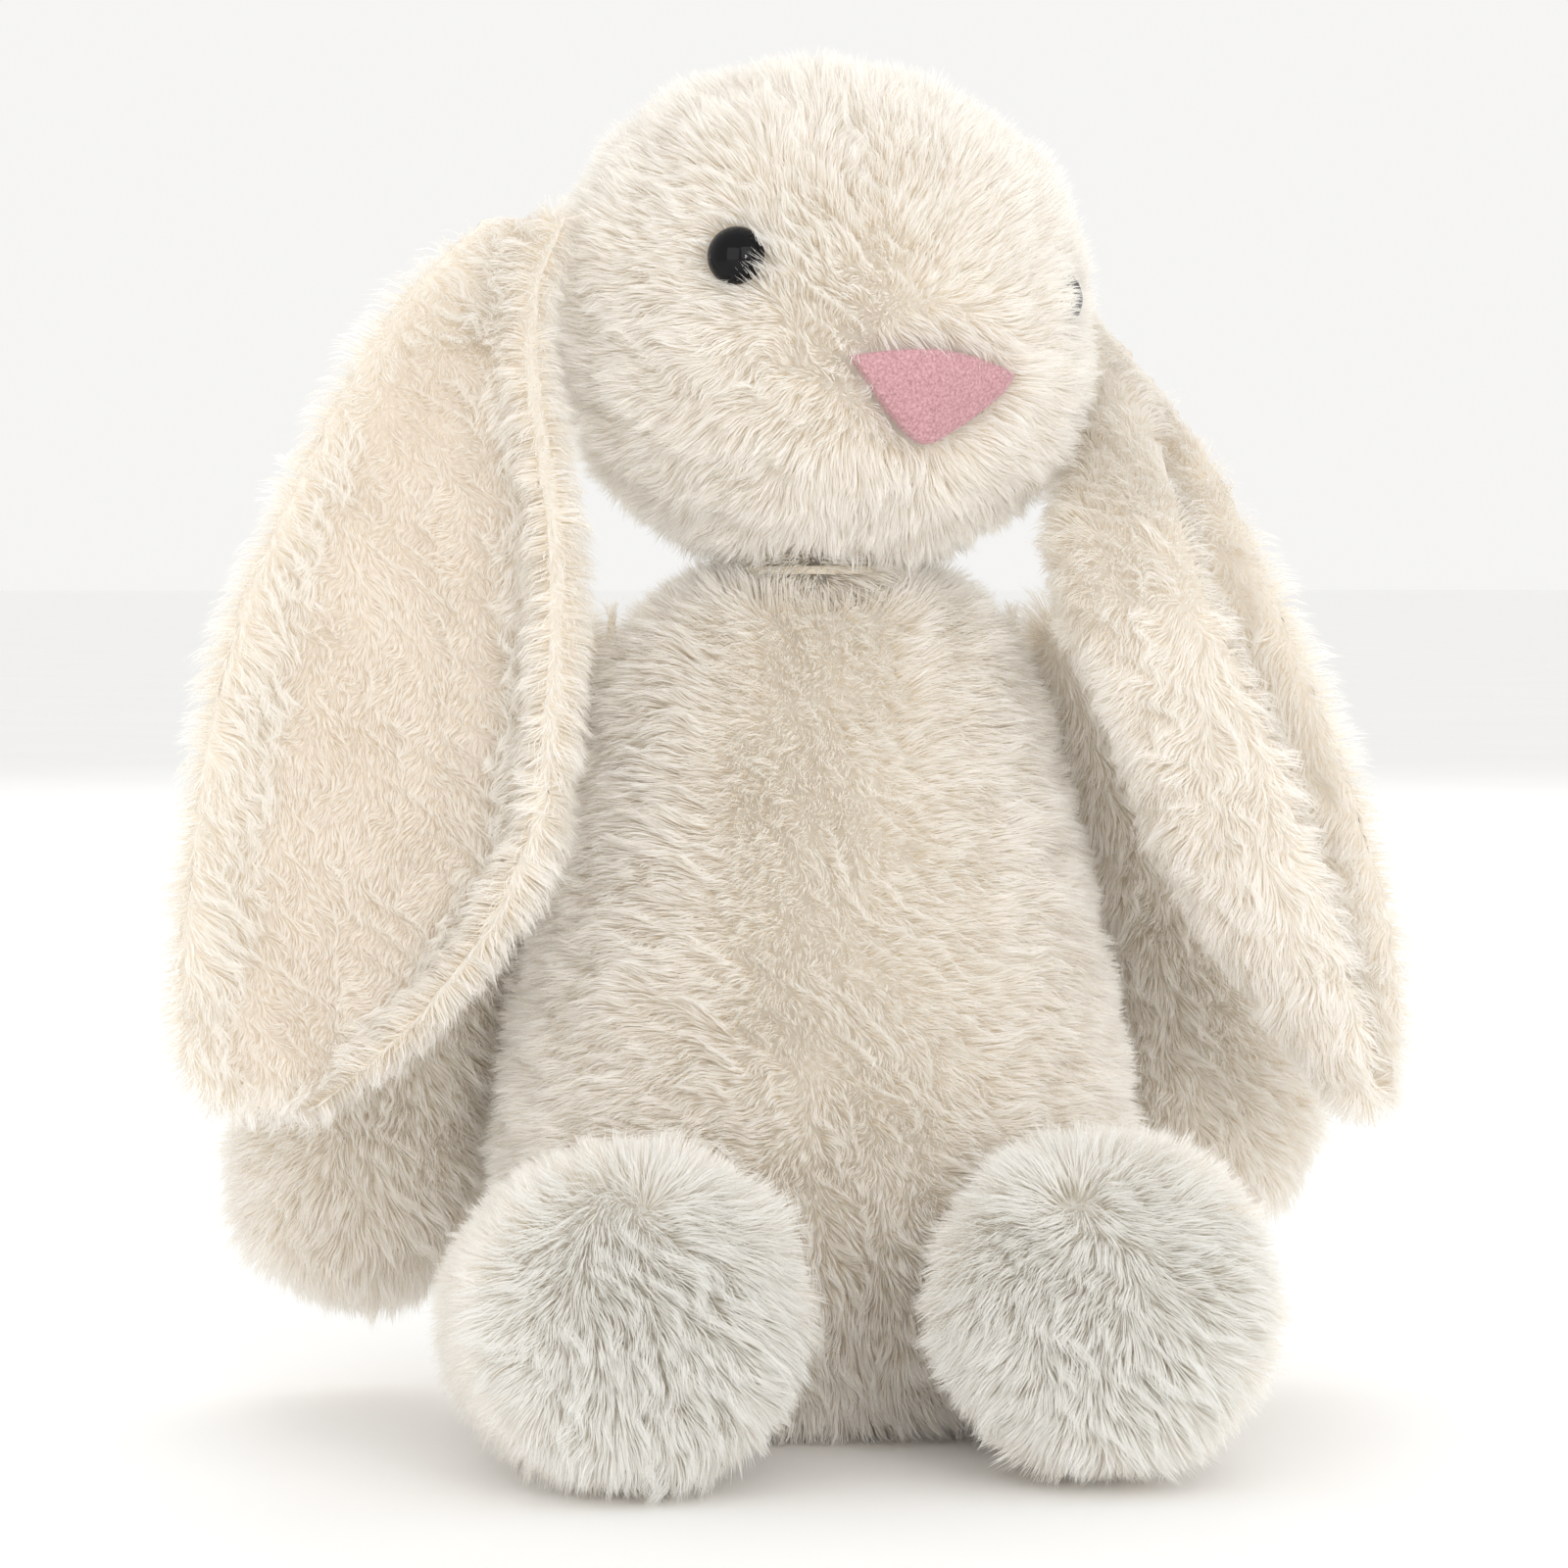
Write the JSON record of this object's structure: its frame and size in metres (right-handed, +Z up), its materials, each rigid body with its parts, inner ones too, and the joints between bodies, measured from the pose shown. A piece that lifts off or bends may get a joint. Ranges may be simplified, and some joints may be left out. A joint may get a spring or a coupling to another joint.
{
  "type": "plush rabbit",
  "caption": "Seated long-eared stuffed rabbit in fluffy cream plush, with a turned head, drooping ears, sewn arms and legs and bead eyes.",
  "frame": {"origin": "centre of the rabbit's footprint box, on the surface that it sits on", "axes": "+Z up, -Y the way the rabbit faces, +X towards the rabbit's own left side"},
  "size_m": [0.3532, 0.2962, 0.3889],
  "materials": {
    "plush_cream": "long fluffy pile",
    "plush_sole": "long fluffy pile, whiter",
    "plush_lining": "short soft pile",
    "nose_velour": "fine velour nap",
    "fibrefill": "loose polyester wadding",
    "pouch_cloth": "woven cotton",
    "eye_plastic": "polished black",
    "washer_plastic": "moulded natural",
    "thread": "twisted sewing thread"
  },
  "bodies": {
    "torso": {"body_base": "plush_cream", "body_front_left": "plush_cream", "body_front_right": "plush_cream", "body_back_left": "plush_cream", "body_back_right": "plush_cream", "body_stuffing": "fibrefill", "body_pellet_pouch": "pouch_cloth", "body_closing_stitches": "thread", "leg_left_stitching": "thread", "leg_right_stitching": "thread", "tail_cover": "plush_cream", "tail_stuffing": "fibrefill", "tail_stitching": "thread"},
    "neck": {"neck_stuffing": "fibrefill", "neck_stitching": "thread"},
    "head": {"head_gusset": "plush_cream", "head_side_left": "plush_cream", "head_side_right": "plush_cream", "head_stuffing": "fibrefill", "nose_patch": "nose_velour", "eye_left_bead": "eye_plastic", "eye_right_bead": "eye_plastic", "eye_left_washer": "washer_plastic", "eye_right_washer": "washer_plastic"},
    "ear_left": {"ear_left_outer": "plush_cream", "ear_left_lining": "plush_lining"},
    "ear_right": {"ear_right_outer": "plush_cream", "ear_right_lining": "plush_lining"},
    "shoulder_left": {"arm_left_stitching": "thread"},
    "shoulder_right": {"arm_right_stitching": "thread"},
    "arm_left": {"arm_left_outer": "plush_cream", "arm_left_inner": "plush_cream", "arm_left_stuffing": "fibrefill"},
    "arm_right": {"arm_right_outer": "plush_cream", "arm_right_inner": "plush_cream", "arm_right_stuffing": "fibrefill"},
    "leg_left": {"leg_left_outer": "plush_cream", "leg_left_inner": "plush_cream", "leg_left_sole": "plush_sole", "leg_left_stuffing": "fibrefill"},
    "leg_right": {"leg_right_outer": "plush_cream", "leg_right_inner": "plush_cream", "leg_right_sole": "plush_sole", "leg_right_stuffing": "fibrefill"}
  },
  "joints": [
    {"name": "head_turn", "type": "hinge", "parent": "torso", "child": "neck", "pos_m": [0.0114, 0.01207, 0.244], "axis": [0, 0, 1], "range_deg": [-25, 25]},
    {"name": "head_nod", "type": "hinge", "parent": "neck", "child": "head", "pos_m": [0.0114, 0.01207, 0.244], "axis": [0.9336, 0.3584, 0], "range_deg": [-15, 15]},
    {"name": "ear_left_lift", "type": "hinge", "parent": "head", "child": "ear_left", "pos_m": [0.0814, 0.05507, 0.328], "axis": [0.3584, -0.9336, 0], "range_deg": [0, 120]},
    {"name": "ear_right_lift", "type": "hinge", "parent": "head", "child": "ear_right", "pos_m": [-0.0656, -0.01093, 0.342], "axis": [-0.3584, 0.9336, 0], "range_deg": [0, 120]},
    {"name": "arm_left_swing", "type": "hinge", "parent": "torso", "child": "shoulder_left", "pos_m": [0.0904, 0.03507, 0.222], "axis": [-1, 0, 0], "range_deg": [-90, 5]},
    {"name": "arm_left_raise", "type": "hinge", "parent": "shoulder_left", "child": "arm_left", "pos_m": [0.0904, 0.03507, 0.222], "axis": [0, -1, 0], "range_deg": [0, 90]},
    {"name": "arm_right_swing", "type": "hinge", "parent": "torso", "child": "shoulder_right", "pos_m": [-0.0676, 0.03507, 0.222], "axis": [-1, 0, 0], "range_deg": [-90, 15]},
    {"name": "arm_right_raise", "type": "hinge", "parent": "shoulder_right", "child": "arm_right", "pos_m": [-0.0676, 0.03507, 0.222], "axis": [0, 1, 0], "range_deg": [0, 90]},
    {"name": "leg_left_lift", "type": "hinge", "parent": "torso", "child": "leg_left", "pos_m": [0.0844, -0.05293, 0.0385], "axis": [-1, 0, 0], "range_deg": [-50, 25]},
    {"name": "leg_right_lift", "type": "hinge", "parent": "torso", "child": "leg_right", "pos_m": [-0.0616, -0.05293, 0.0385], "axis": [-1, 0, 0], "range_deg": [-50, 25]}
  ]
}
